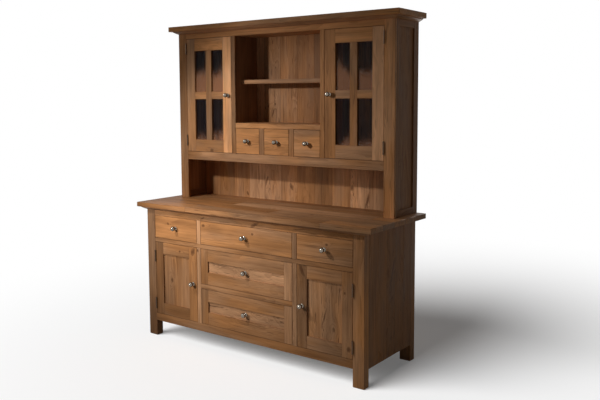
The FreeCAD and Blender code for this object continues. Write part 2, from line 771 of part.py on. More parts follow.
def all_drawers():
    """Three shallow drawers, two deep ones and the hutch's three small ones."""
    z = (top_open_low, top_open_top)
    row = (("left", (-leg_inner, -muntin_outer)), ("centre", (-centre_half, centre_half)),
           ("right", (muntin_outer, leg_inner)))
    for word, x in row:
        plain_drawer("top_drawer_" + word, x, z, face_y, base_drawer_depth, base_knob_rise)
    deep_drawer("deep_drawer_upper", (deep_rail_top, low_open_top))
    deep_drawer("deep_drawer_lower", (low_open_low, deep_rail_low))
    width = small_drawer_width()
    z = (hutch_open_low, small_open_top)
    for place, word in ((-1, "left"), (0, "centre"), (1, "right")):
        middle = place * (width + small_muntin)
        x = (middle - width / 2, middle + width / 2)
        plain_drawer("small_drawer_" + word, x, z, hutch_face_y, small_drawer_depth, 0)


def base_legs():
    """The legs, with mortises for every rail, grooves for the planks and hinge recesses."""
    tools = nodes["base_front_rails"][:3] + nodes["base_back"][-2:] + nodes["base_side_planks"]
    tools += [m for m in hinge_mortises if m.BoundBox.ZMax < worktop_under]
    for leg in leg_boxes():
        foot = [e for e in leg.Edges if e.BoundBox.ZMax < touching]
        keep("base_legs", cut(leg.makeChamfer(foot_chamfer, foot), tools))


def fit_rails():
    """Mortises in the base rails for the muntins, and in the muntins for the short rail."""
    rails, muntins = nodes["base_front_rails"], nodes["base_muntins"]
    short = rails[3]
    nodes["base_front_rails"] = [cut(r, muntins) for r in rails[:3]] + [short]
    nodes["base_muntins"] = [cut(m, [short]) for m in muntins]


def build():
    """Makes every node; doors come before the frames that their hinges are let into."""
    base_front_rails()
    base_muntins()
    base_sides()
    base_back()
    base_carcase()
    base_runners()
    base_shelves()
    for side, word in ((-1, "left"), (1, "right")):
        base_door("base_door_" + word, side)
        hutch_door("hutch_door_" + word, side)
    fit_rails()
    base_legs()
    hutch_face_frame()
    hutch_sides()
    hutch_back()
    hutch_boards()
    hutch_shelves()
    catches()
    worktop()
    cornice()
    moulding("worktop_moulding", half_width, face_y, base_back_y, worktop_under)
    moulding("cornice_moulding", half_width, hutch_face_y, back_y, cornice_low)
    all_drawers()


build()
os.makedirs("parts", exist_ok=True)
for node, solids in nodes.items():
    for solid in solids:
        if not solid.isValid() or solid.ShapeType != "Solid":
            print("check", node, solid.ShapeType, solid.isValid())
    Part.makeCompound(solids).exportStep("parts/" + node + ".step")
print(len(nodes), "nodes,", sum(len(s) for s in nodes.values()), "solids")
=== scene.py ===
# %% [markdown]
# # A dresser with a hutch, in rustic pine
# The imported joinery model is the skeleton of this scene. Every board of it is already cut to size, so
# the work left for Blender is a maker's last day on the piece: ease the edges, fit the metalwork,
# finish the wood, and set the dresser in a plain pale studio. Lengths are in metres, the front looks
# towards -Y, and Z is up.
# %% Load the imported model
import bmesh
import bpy
import json
import math
import random
from mathutils import Matrix, Vector

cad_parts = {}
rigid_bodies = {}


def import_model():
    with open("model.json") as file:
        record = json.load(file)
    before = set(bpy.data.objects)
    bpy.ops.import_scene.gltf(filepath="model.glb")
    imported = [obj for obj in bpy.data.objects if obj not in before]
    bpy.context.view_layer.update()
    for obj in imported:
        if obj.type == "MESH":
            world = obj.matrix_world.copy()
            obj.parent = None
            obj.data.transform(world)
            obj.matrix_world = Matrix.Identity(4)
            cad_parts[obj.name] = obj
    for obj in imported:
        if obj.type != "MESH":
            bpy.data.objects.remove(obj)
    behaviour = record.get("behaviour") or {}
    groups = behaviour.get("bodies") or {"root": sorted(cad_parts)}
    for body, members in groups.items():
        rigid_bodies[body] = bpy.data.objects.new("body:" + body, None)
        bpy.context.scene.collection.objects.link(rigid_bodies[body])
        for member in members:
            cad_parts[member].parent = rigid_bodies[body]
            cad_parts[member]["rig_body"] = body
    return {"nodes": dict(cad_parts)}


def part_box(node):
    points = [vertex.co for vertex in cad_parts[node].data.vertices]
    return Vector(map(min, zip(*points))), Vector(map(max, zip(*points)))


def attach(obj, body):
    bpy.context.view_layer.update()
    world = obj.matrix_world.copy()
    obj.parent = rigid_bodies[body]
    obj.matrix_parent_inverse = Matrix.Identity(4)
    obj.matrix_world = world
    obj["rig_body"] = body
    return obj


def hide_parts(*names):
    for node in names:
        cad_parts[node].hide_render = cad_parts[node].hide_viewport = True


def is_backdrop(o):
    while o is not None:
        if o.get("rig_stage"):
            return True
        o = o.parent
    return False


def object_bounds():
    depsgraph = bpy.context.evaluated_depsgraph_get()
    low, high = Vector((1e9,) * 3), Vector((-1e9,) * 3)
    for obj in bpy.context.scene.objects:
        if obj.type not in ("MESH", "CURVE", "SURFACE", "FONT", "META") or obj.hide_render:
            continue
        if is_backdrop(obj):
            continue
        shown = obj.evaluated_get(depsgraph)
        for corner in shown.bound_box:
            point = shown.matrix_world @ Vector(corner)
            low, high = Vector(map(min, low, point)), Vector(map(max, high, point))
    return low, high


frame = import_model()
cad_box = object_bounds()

# %% [markdown]
# ## A few words for shader nodes
# A finish in Blender is a tree of nodes, and wood needs a few dozen of them. Writing each with its
# links takes many lines, so these helpers add one node, feed it sockets or plain numbers, and hand
# back the output. A formula then reads from the inside out, like the sum it is. Noise seldom leaves
# 0.3 to 0.7, so a ramp that reads noise starts and ends near there.
# %% Adding and feeding nodes
def new_finish(name):
    """A material, its node tree and its main shader."""
    finish = bpy.data.materials.new(name)
    finish.use_nodes = True
    return finish, finish.node_tree, finish.node_tree.nodes["Principled BSDF"]


def feed(tree, sockets, values):
    """Links the values that are sockets, writes the plain ones, and skips each None."""
    for socket, value in zip(sockets, values):
        if isinstance(value, bpy.types.NodeSocket):
            tree.links.new(value, socket)
        elif value is not None:
            socket.default_value = value


def add_node(tree, kind, *values, **settings):
    """Adds a node, gives it its settings, and feeds its inputs in order."""
    node = tree.nodes.new("ShaderNode" + kind)
    for setting, value in settings.items():
        setattr(node, setting, value)
    feed(tree, node.inputs, values)
    return node


def maths(tree, operation, *values):
    """The result of a sum on numbers."""
    return add_node(tree, "Math", *values, operation=operation).outputs[0]


def vectors(tree, operation, *values):
    """The result of a sum on vectors."""
    node = add_node(tree, "VectorMath", *values, operation=operation)
    return node.outputs["Value" if operation == "LENGTH" else "Vector"]


def attribute(tree, name, output="Vector"):
    """What a piece's mesh says at each point: a vector, or with Fac a single number."""
    return add_node(tree, "Attribute", attribute_name=name).outputs[output]


# %% Patterns and mixes
def noise(tree, place, fineness, detail=2.0):
    """Noise whose fineness is given along, across and through the board."""
    stretched = vectors(tree, "MULTIPLY", place, fineness)
    return add_node(tree, "TexNoise", stretched, None, 1.0, detail, 0.5).outputs[0]


def swing(tree, place, fineness):
    """Noise that swings round zero."""
    return maths(tree, "SUBTRACT", noise(tree, place, fineness), 0.5)


def ramp(tree, value, low, high, start=0.0, end=1.0):
    """Takes value from low..high to start..end, with soft ends."""
    node = add_node(tree, "MapRange", value, low, high, start, end, interpolation_type="SMOOTHSTEP")
    return node.outputs[0]


def blend(tree, amount, first, second, how="MIX"):
    """Two colours mixed, or multiplied, by an amount."""
    node = add_node(tree, "Mix", amount, data_type="RGBA", blend_type=how)
    feed(tree, node.inputs[6:8], (first, second))
    return node.outputs[2]


# %% [markdown]
# ## The pine
# Old pine shows flames, stripes, knots and swirls, and no two boards are alike. A picture of wood laid
# over each piece would repeat, and would break off at every edge. So the pine here is solid: its
# pattern fills space, and each face shows it as a saw would have cut it.
#
# Each board says a few things about itself as attributes: its own coordinates (along, across and
# through), half its size, three chance numbers, up to two knots, its tone, and how rosy and how
# figured it is. The growth rings run round a pith that lies somewhere below the board, and wander
# slowly along its length. So the long faces show flames and stripes, and the end grain shows arcs.
#
# Small knots come by chance, from a Voronoi pattern, and up to two more are listed for each board.
# In a figured board these lie aslant, as where a branch was sawn lengthwise. Near a knot the rings get
# a bump, which bends them round it as in a tree. In a figured board the rings curl as well, as they do
# in the root end of an old trunk.
# %% How fine each pattern is
# Waves to the metre along, across and through the board
FINENESS = {"wander": (0.9, 6.0, 6.0), "tremble": (4.0, 30.0, 30.0), "curl": (3.0, 7.0, 7.0),
            "strength": (2.0, 9.0, 9.0), "cloud": (2.6, 11.0, 11.0), "blush": (2.4, 9.0, 9.0),
            "streak": (2.2, 55.0, 55.0), "crack": (5.5, 150.0, 150.0),
            "fibre": (7.0, 420.0, 420.0), "shiver": (60.0, 90.0, 90.0)}
print("the finest pattern is the", max(FINENESS, key=lambda name: FINENESS[name][1]))

# %% Knots
KNOT_CELLS = (2.6, 8.0, 0.0)          # places for a chance knot to the metre, along and across
CHANCE_KNOTS = (0.003, 0.010)         # sizes of the smallest and the largest chance knot
SHORT_OVAL, LONG_OVAL = 0.8, 0.33     # a knot is a short oval, and the rings bend on a long one
TINY, FAR_OFF = 0.0001, 50.0          # a knot that isn't there is this small, or this far off


def chance_knot(tree, place, share):
    """How far off the nearest chance knot is, along and across, and its size."""
    cells = vectors(tree, "MULTIPLY", place, KNOT_CELLS)
    cell = add_node(tree, "TexVoronoi", cells, None, 1.0, voronoi_dimensions="2D")
    off = vectors(tree, "SUBTRACT", cells, cell.outputs["Position"])
    off = add_node(tree, "SeparateXYZ", vectors(tree, "DIVIDE", off, KNOT_CELLS))
    luck = add_node(tree, "SeparateColor", cell.outputs["Color"])
    absent = maths(tree, "GREATER_THAN", luck.outputs[0], share)
    along = maths(tree, "MULTIPLY_ADD", absent, FAR_OFF, off.outputs[0])
    return along, off.outputs[1], ramp(tree, luck.outputs[1], 0.0, 1.0, *CHANCE_KNOTS)


def set_knot(tree, own, name, lean):
    """How far off a listed knot is, along and across, and its size."""
    knot = add_node(tree, "SeparateXYZ", attribute(tree, name))
    along = maths(tree, "SUBTRACT", own.outputs[0], knot.outputs[0])
    across = maths(tree, "SUBTRACT", own.outputs[1], knot.outputs[1])
    along = maths(tree, "MULTIPLY_ADD", across, lean, along)
    return along, across, maths(tree, "MAXIMUM", knot.outputs[2], TINY)


def nearest_knot(tree, own, place, lean, share):
    """Distances to the nearest knot in knot sizes, on the short oval and on the long one."""
    found = [chance_knot(tree, place, share)]
    found += [set_knot(tree, own, name, lean) for name in ("knot_a", "knot_b")]
    nearest = []
    for oval in (SHORT_OVAL, LONG_OVAL):
        distance = FAR_OFF
        for along, across, size in found:
            off = add_node(tree, "CombineXYZ", maths(tree, "MULTIPLY", along, oval), across, 0.0)
            this = maths(tree, "DIVIDE", vectors(tree, "LENGTH", off.outputs[0]), size)
            distance = maths(tree, "MINIMUM", this, distance)
        nearest.append(distance)
    return nearest


# %% Growth rings
RING_WIDTH = 0.0105                           # a year's growth
WEATHER_WAVES, WEATHER = 55.0, 3.2            # good and bad years to the metre, and their effect
PITH_ACROSS, PITH_BELOW = 0.07, (0.03, 0.11)  # where the pith may lie, from the board's middle
WANDER, BULGE, CURL, TREMBLE = 0.10, 0.02, 0.2, 0.010   # how far the rings stray from a circle


def growth_rings(tree, own, luck, place, curl, swirl):
    """How far each point is through its year's ring, from 0 at the start of spring to 1."""
    pith_across = ramp(tree, luck.outputs[0], 0.0, 1.0, -PITH_ACROSS, PITH_ACROSS)
    pith_below = ramp(tree, luck.outputs[1], 0.0, 1.0, *PITH_BELOW)
    across = maths(tree, "ADD", own.outputs[1], pith_across)
    through = maths(tree, "ADD", own.outputs[2], pith_below)
    radius = vectors(tree, "LENGTH", add_node(tree, "CombineXYZ", across, through, 0.0).outputs[0])
    wander = swing(tree, place, FINENESS["wander"])
    tremble = noise(tree, place, FINENESS["tremble"])
    for wave, size in ((wander, WANDER), (swirl, BULGE), (curl, CURL), (tremble, TREMBLE)):
        radius = maths(tree, "MULTIPLY_ADD", wave, size, radius)
    weather = add_node(tree, "TexNoise", None, radius, WEATHER_WAVES, 1.0, noise_dimensions="1D")
    years = maths(tree, "DIVIDE", radius, RING_WIDTH)
    return maths(tree, "FRACT", maths(tree, "MULTIPLY_ADD", weather.outputs[0], WEATHER, years))


# %% [markdown]
# ## The colour of a board
# Late wood, fibres and streaks are darker than the early wood between them. Clouds lighten and darken
# the whole, a blush makes some parts of a board rosier than others, and cracks, knots and darker edges
# come on top. One brown with one noise would look like printed paper, so every part has its own
# pattern and its own strength. A value in a shader is linear, while a colour is easier to think of as
# it looks on screen, so `paint` turns the second into the first.
# %% Colours as they look
def paint(red, green, blue):
    """A shader colour from how it looks on screen, 0 to 255."""
    shares = [value / 255 for value in (red, green, blue)]
    linear = [s / 12.92 if s <= 0.04045 else ((s + 0.055) / 1.055) ** 2.4 for s in shares]
    return (*linear, 1.0)


print("a mid brown in the shader:", [round(value, 3) for value in paint(150, 102, 64)])

# %% How strongly each pattern shows
LATE_DARK, FIBRE_DARK, STREAK_DARK = 0.42, 0.26, (-0.08, 0.24)   # steps from early to late colour
CRACK_DARK, FIGURED_CRACK_DARK = 0.24, 0.45      # a crack in plain wood, and what figure adds
RIM_DARK, KNOT_DARK, EDGE_DARK = 0.5, 0.75, 0.22
RELIEF, BUMPY = 0.0004, 0.5                      # a depth, and how much of it shows
LATE_HIGH, FIBRE_HIGH, CRACK_DEEP, RIM_DEEP = 0.5, 0.6, -2.0, -1.0   # shares of that depth
CLOUD_DULL, LATE_DULL, MIRROR = 0.2, 0.12, 0.07  # what dulls the wax, and how much it mirrors
GOLDEN, ROSY = (1.03, 0.95, 0.82, 1.0), (0.97, 1.06, 1.26, 1.0)
MOTTLED, BLUSHED = (0.78, 1.2), 0.45             # how far tone and hue drift over a board
print("a crack is", -CRACK_DEEP * RELIEF, "m deep")

# %% Knots and darker edges on a board
KNOT_LEAN = 4.0                                      # steps along for each step across
KNOT_FULL, KNOT_END, RIM_WIDTH = 0.5, 1.1, 0.5       # in knot sizes, as are the next two
SWIRL, RAGGED = (0.3, 3.2), 1.2
# How far in from a board's edges the wood is darker, and how ragged that band is
EDGE_BAND, EDGE_RAGGED = (-0.002, 0.0015), -0.004  # in metres from the edge


def knot_marks(tree, own, place, luck, figure, share):
    """Where a knot is, where its dark rim is, and where the grain swirls round it, each 0 to 1."""
    lean = ramp(tree, luck.outputs[2], 0.0, 1.0, -KNOT_LEAN, KNOT_LEAN)
    lean = maths(tree, "MULTIPLY", lean, figure)
    near, far = nearest_knot(tree, own, place, lean, share)
    near = maths(tree, "MULTIPLY_ADD", swing(tree, place, FINENESS["shiver"]), RAGGED, near)
    knot = ramp(tree, near, KNOT_FULL, KNOT_END, 1.0, 0.0)
    from_rim = maths(tree, "ABSOLUTE", maths(tree, "SUBTRACT", near, KNOT_END))
    return knot, ramp(tree, from_rim, 0.0, RIM_WIDTH, 1.0, 0.0), ramp(tree, far, *SWIRL, 1.0, 0.0)


def grime(tree, grain, streak):
    """A darkening along a board's edges, ragged with the streaks."""
    room = vectors(tree, "SUBTRACT", attribute(tree, "half"), vectors(tree, "ABSOLUTE", grain))
    side = add_node(tree, "SeparateXYZ", room)
    a, b, c = side.outputs[0], side.outputs[1], side.outputs[2]
    second_least = maths(tree, "MINIMUM", maths(tree, "MAXIMUM", a, b), c)
    second_least = maths(tree, "MAXIMUM", maths(tree, "MINIMUM", a, b), second_least)
    edge = maths(tree, "MULTIPLY_ADD", streak, EDGE_RAGGED, second_least)
    return ramp(tree, edge, *EDGE_BAND, EDGE_DARK, 0.0)


def tinted(tree, colour, cloud, blush):
    """A wood colour in the board's own tone and hue, which drift a little over the board."""
    tone = ramp(tree, cloud, 0.28, 0.72, *MOTTLED)
    tone = maths(tree, "MULTIPLY", tone, attribute(tree, "tone", "Fac"))
    tone = add_node(tree, "CombineXYZ", tone, tone, tone).outputs[0]
    rosy = ramp(tree, blush, 0.3, 0.7, -BLUSHED, BLUSHED)
    rosy = maths(tree, "ADD", attribute(tree, "rosy", "Fac"), rosy)
    colour = blend(tree, 1.0, colour, tone, "MULTIPLY")
    return blend(tree, 1.0, colour, blend(tree, rosy, GOLDEN, ROSY), "MULTIPLY")


# %% The pine itself
BOARD_STEPS = (37.0, 41.0, 43.0)     # chance moves a board up to this far through the patterns
LATENESS, FAINTEST = 2.2, 0.3        # how late in its ring the wood darkens, and the faintest rings
CURL_BEND, SWIRL_BEND = 0.1, 0.012   # how far the fine patterns follow the curl and the swirl
MORE_CRACKS = 0.02                   # figured wood cracks more


def pine(name, early, late, heart, dark, knot_share, shine):
    """Solid pine: early and late wood, knot heart, and the dark of cracks, knot rims and edges."""
    finish, tree, shader = new_finish(name)
    grain, chance = attribute(tree, "grain"), attribute(tree, "chance")
    figure = attribute(tree, "figure", "Fac")
    place = vectors(tree, "MULTIPLY_ADD", chance, BOARD_STEPS, grain)
    own, luck = add_node(tree, "SeparateXYZ", grain), add_node(tree, "SeparateXYZ", chance)
    knot, rim, swirl = knot_marks(tree, own, place, luck, figure, knot_share)

    # Late wood, strong in some parts of a board and faint in others
    curl = maths(tree, "MULTIPLY", swing(tree, place, FINENESS["curl"]), figure)
    rings = growth_rings(tree, own, luck, place, curl, swirl)
    strength = ramp(tree, noise(tree, place, FINENESS["strength"]), 0.35, 0.65, FAINTEST, 1.0)
    strength = maths(tree, "MAXIMUM", strength, figure)
    late_wood = maths(tree, "MULTIPLY", maths(tree, "POWER", rings, LATENESS), strength)

    # The finer patterns, bent with the rings
    bend = maths(tree, "MULTIPLY_ADD", curl, CURL_BEND, maths(tree, "MULTIPLY", swirl, SWIRL_BEND))
    bent = vectors(tree, "ADD", place, add_node(tree, "CombineXYZ", 0.0, bend, bend).outputs[0])
    fibre = noise(tree, bent, FINENESS["fibre"], 3.0)
    streak = noise(tree, bent, FINENESS["streak"], 3.0)
    cloud = noise(tree, bent, FINENESS["cloud"], 3.0)
    blush = noise(tree, bent, FINENESS["blush"])
    crack = noise(tree, bent, FINENESS["crack"], 1.0)
    crack = ramp(tree, maths(tree, "MULTIPLY_ADD", figure, MORE_CRACKS, crack), 0.62, 0.72)

    # Colour: the wood, then what lies on it
    darker = maths(tree, "MULTIPLY", fibre, FIBRE_DARK)
    darker = maths(tree, "MULTIPLY_ADD", late_wood, LATE_DARK, darker)
    darker = maths(tree, "ADD", darker, ramp(tree, streak, 0.3, 0.7, *STREAK_DARK))
    colour = tinted(tree, blend(tree, darker, early, late), cloud, blush)
    crack_dark = maths(tree, "MULTIPLY_ADD", figure, FIGURED_CRACK_DARK, CRACK_DARK)
    for amount, mark in ((maths(tree, "MULTIPLY", crack, crack_dark), dark),
                         (maths(tree, "MULTIPLY", rim, RIM_DARK), dark),
                         (maths(tree, "MULTIPLY", knot, KNOT_DARK), heart),
                         (grime(tree, grain, streak), dark)):
        colour = blend(tree, amount, colour, mark)

    # Gloss, and a relief in which late wood stands up and cracks lie deep
    gloss = maths(tree, "MULTIPLY_ADD", cloud, CLOUD_DULL, shine)
    gloss = maths(tree, "MULTIPLY_ADD", late_wood, LATE_DULL, gloss)
    height = maths(tree, "MULTIPLY", fibre, FIBRE_HIGH)
    for part, share in ((late_wood, LATE_HIGH), (crack, CRACK_DEEP), (rim, RIM_DEEP)):
        height = maths(tree, "MULTIPLY_ADD", part, share, height)
    bump = add_node(tree, "Bump", BUMPY, RELIEF)
    tree.links.new(height, bump.inputs["Height"])
    tree.links.new(colour, shader.inputs["Base Color"])
    tree.links.new(gloss, shader.inputs["Roughness"])
    tree.links.new(bump.outputs[0], shader.inputs["Normal"])
    shader.inputs["Specular IOR Level"].default_value = MIRROR
    return finish


# %% Waxed and bare pine
waxed_pine = pine("waxed_pine", early=paint(187, 135, 90), late=paint(127, 85, 53),
                  heart=paint(88, 52, 31), dark=paint(56, 34, 20), knot_share=0.16, shine=0.36)
bare_pine = pine("bare_pine", early=paint(214, 180, 138), late=paint(176, 132, 88),
                 heart=paint(110, 70, 44), dark=paint(92, 62, 42), knot_share=0.3, shine=0.55)
print("two pines with", len(waxed_pine.node_tree.nodes), "nodes each")

# %% [markdown]
# ## Metal and glass
# The knobs are black nickel: a dark warm metal that still takes a bright highlight, with faint marks
# from handling, which show as uneven gloss. The hinges are bronzed steel. A metal in Blender is a
# colour with Metallic at 1, so all that is left to say is how even its gloss is.
#
# The panes are old thin glass, a little uneven. A clear glass shader would let no lamp light into the
# cupboard, because light bent by glass is hard to trace. So a pane is a dark gloss that is mostly
# see-through. Low on each pane a brown glow is painted, as painted light for the lit back of the
# cupboard seen through it: strong on the upper panes, weak on the lower ones, and ragged at its top.
# %% Nickel and dark steel
WORN = 0.8   # the share of its colour that a metal keeps where it is worn


def metal(name, colour, shine, marks, fineness):
    """A metal whose gloss is broken by fine marks."""
    finish, tree, shader = new_finish(name)
    place = add_node(tree, "TexCoord").outputs["Object"]
    worn = noise(tree, place, (fineness, fineness, fineness), 3.0)
    shade = tuple(WORN * part for part in colour[:3]) + (1.0,)
    tree.links.new(ramp(tree, worn, 0.3, 0.75, shine, shine + marks), shader.inputs["Roughness"])
    tree.links.new(blend(tree, worn, colour, shade), shader.inputs["Base Color"])
    shader.inputs["Metallic"].default_value = 1.0
    return finish


nickel = metal("black_nickel", paint(136, 128, 117), shine=0.13, marks=0.10, fineness=240.0)
dark_steel = metal("bronzed_steel", paint(92, 72, 56), shine=0.40, marks=0.2, fineness=400.0)
print("metals:", nickel.name, dark_steel.name)

# %% Window glass
ROWS_OF_PANES = 2
UNEVEN = (9.0, 9.0, 4.0)                   # waves to the metre in the glass
CLEAR_STOP, GLOW_STOP = 0.16, 0.6                   # how much of the light the clear glass and the painted glow stop
GLOW_TOP = (0.25, 0.65)                    # where the painted glow thins out, in pane heights
RAGGED_TOP, MORE_ABOVE = 0.7, 0.45         # how ragged that is, and how much higher on upper panes
GLASS_GLOSS, GLASS_MIRROR = (0.02, 0.08), 0.2


def window_glass():
    """A dark gloss that is mostly see-through, with a brown glow painted low on each pane as painted
    light.
    """
    finish, tree, shader = new_finish("window_glass")
    place = add_node(tree, "TexCoord").outputs["Object"]
    uneven = noise(tree, place, UNEVEN, 1.0)
    low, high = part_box("hutch_door_left_glass")
    height = maths(tree, "SUBTRACT", add_node(tree, "SeparateXYZ", place).outputs[2], low.z)
    height = maths(tree, "DIVIDE", height, (high.z - low.z) / ROWS_OF_PANES)
    row = maths(tree, "FLOOR", height)
    height = maths(tree, "MULTIPLY_ADD", uneven, RAGGED_TOP, maths(tree, "FRACT", height))
    height = maths(tree, "MULTIPLY_ADD", row, -MORE_ABOVE, height)
    # Painted light: a brown glow low on each pane, for the lit back of the cupboard behind it
    painted_glow = ramp(tree, height, *GLOW_TOP, 1.0, 0.0)
    colour = blend(tree, painted_glow, paint(40, 38, 42), paint(176, 118, 80))
    tree.links.new(colour, shader.inputs["Base Color"])
    tree.links.new(ramp(tree, painted_glow, 0.0, 1.0, CLEAR_STOP, GLOW_STOP), shader.inputs["Alpha"])
    tree.links.new(ramp(tree, uneven, 0.3, 0.7, *GLASS_GLOSS), shader.inputs["Roughness"])
    shader.inputs["Specular IOR Level"].default_value = GLASS_MIRROR
    return finish


glass = window_glass()
print("glass:", glass.name)

# %% [markdown]
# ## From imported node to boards
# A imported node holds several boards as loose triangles, and where two boards touch, a plain merge
# would weld them together. So the boards are numbered first. Their triangles follow one another, and
# a board is complete when each of its edges has met its partner. Then each board is merged by itself,
# its flat faces are cleaned of their triangles, and its sharp outer edges are eased with a bevel, as
# with a block plane.
#
# A Bevel modifier with an angle limit comes close to this. But it would round inner corners too, and
# a joiner's plane reaches only the outer edges, so those are picked in edit mode. Blender's operators
# act on whatever is selected, and loading leaves the whole model selected, so `only` comes first.
# %% Numbering the boards
STEPS_TO_THE_METRE = 100000   # corners are matched to a hundredth of a millimetre


def number_boards(mesh):
    """Writes to every vertex the number of its board, and returns how many boards there are."""
    numbers, waiting, board = [0.0] * len(mesh.vertices), {}, 0
    for face in mesh.polygons:
        spots = [tuple(round(value * STEPS_TO_THE_METRE) for value in mesh.vertices[v].co)
                 for v in face.vertices]
        for start, end in zip(spots, spots[1:] + spots[:1]):
            if start == end:
                continue
            if waiting.get((end, start)):
                waiting[(end, start)] -= 1
                if not waiting[(end, start)]:
                    del waiting[(end, start)]
            else:
                waiting[(start, end)] = waiting.get((start, end), 0) + 1
        for v in face.vertices:
            numbers[v] = float(board)
        if not waiting:
            board += 1
    layer = mesh.attributes.new("board", "FLOAT", "POINT")
    layer.data.foreach_set("value", numbers)
    return board


# %% Easing the edges
SAME_SPOT, FLAT, SHARP = 0.00001, math.radians(0.5), math.radians(35)


def only(piece):
    """Selects one object and nothing else."""
    bpy.ops.object.select_all(action="DESELECT")
    bpy.context.view_layer.objects.active = piece
    piece.select_set(True)


def ease_edges(piece, boards, width, steps):
    """Merges each board by itself, clears its flat faces and bevels its sharp outer edges."""
    only(piece)
    bpy.ops.object.mode_set(mode="EDIT")
    bpy.ops.mesh.select_mode(type="VERT")
    for board in range(boards):
        bpy.ops.mesh.select_all(action="DESELECT")
        shape = bmesh.from_edit_mesh(piece.data)
        layer = shape.verts.layers.float["board"]
        for vert in shape.verts:
            if round(vert[layer]) == board:
                vert.select = True
        shape.select_flush(True)
        bpy.ops.mesh.remove_doubles(threshold=SAME_SPOT)
    bpy.ops.mesh.select_all(action="SELECT")
    bpy.ops.mesh.dissolve_limited(angle_limit=FLAT)
    bpy.ops.mesh.select_mode(type="EDGE")
    bpy.ops.mesh.select_all(action="DESELECT")
    shape = bmesh.from_edit_mesh(piece.data)
    for edge in shape.edges:
        if len(edge.link_faces) == 2 and edge.is_convex and edge.calc_face_angle(0.0) > SHARP:
            edge.select = True
    bmesh.update_edit_mesh(piece.data)
    bpy.ops.mesh.bevel(offset=width, segments=steps, affect="EDGES", clamp_overlap=False)
    bpy.ops.object.mode_set(mode="OBJECT")
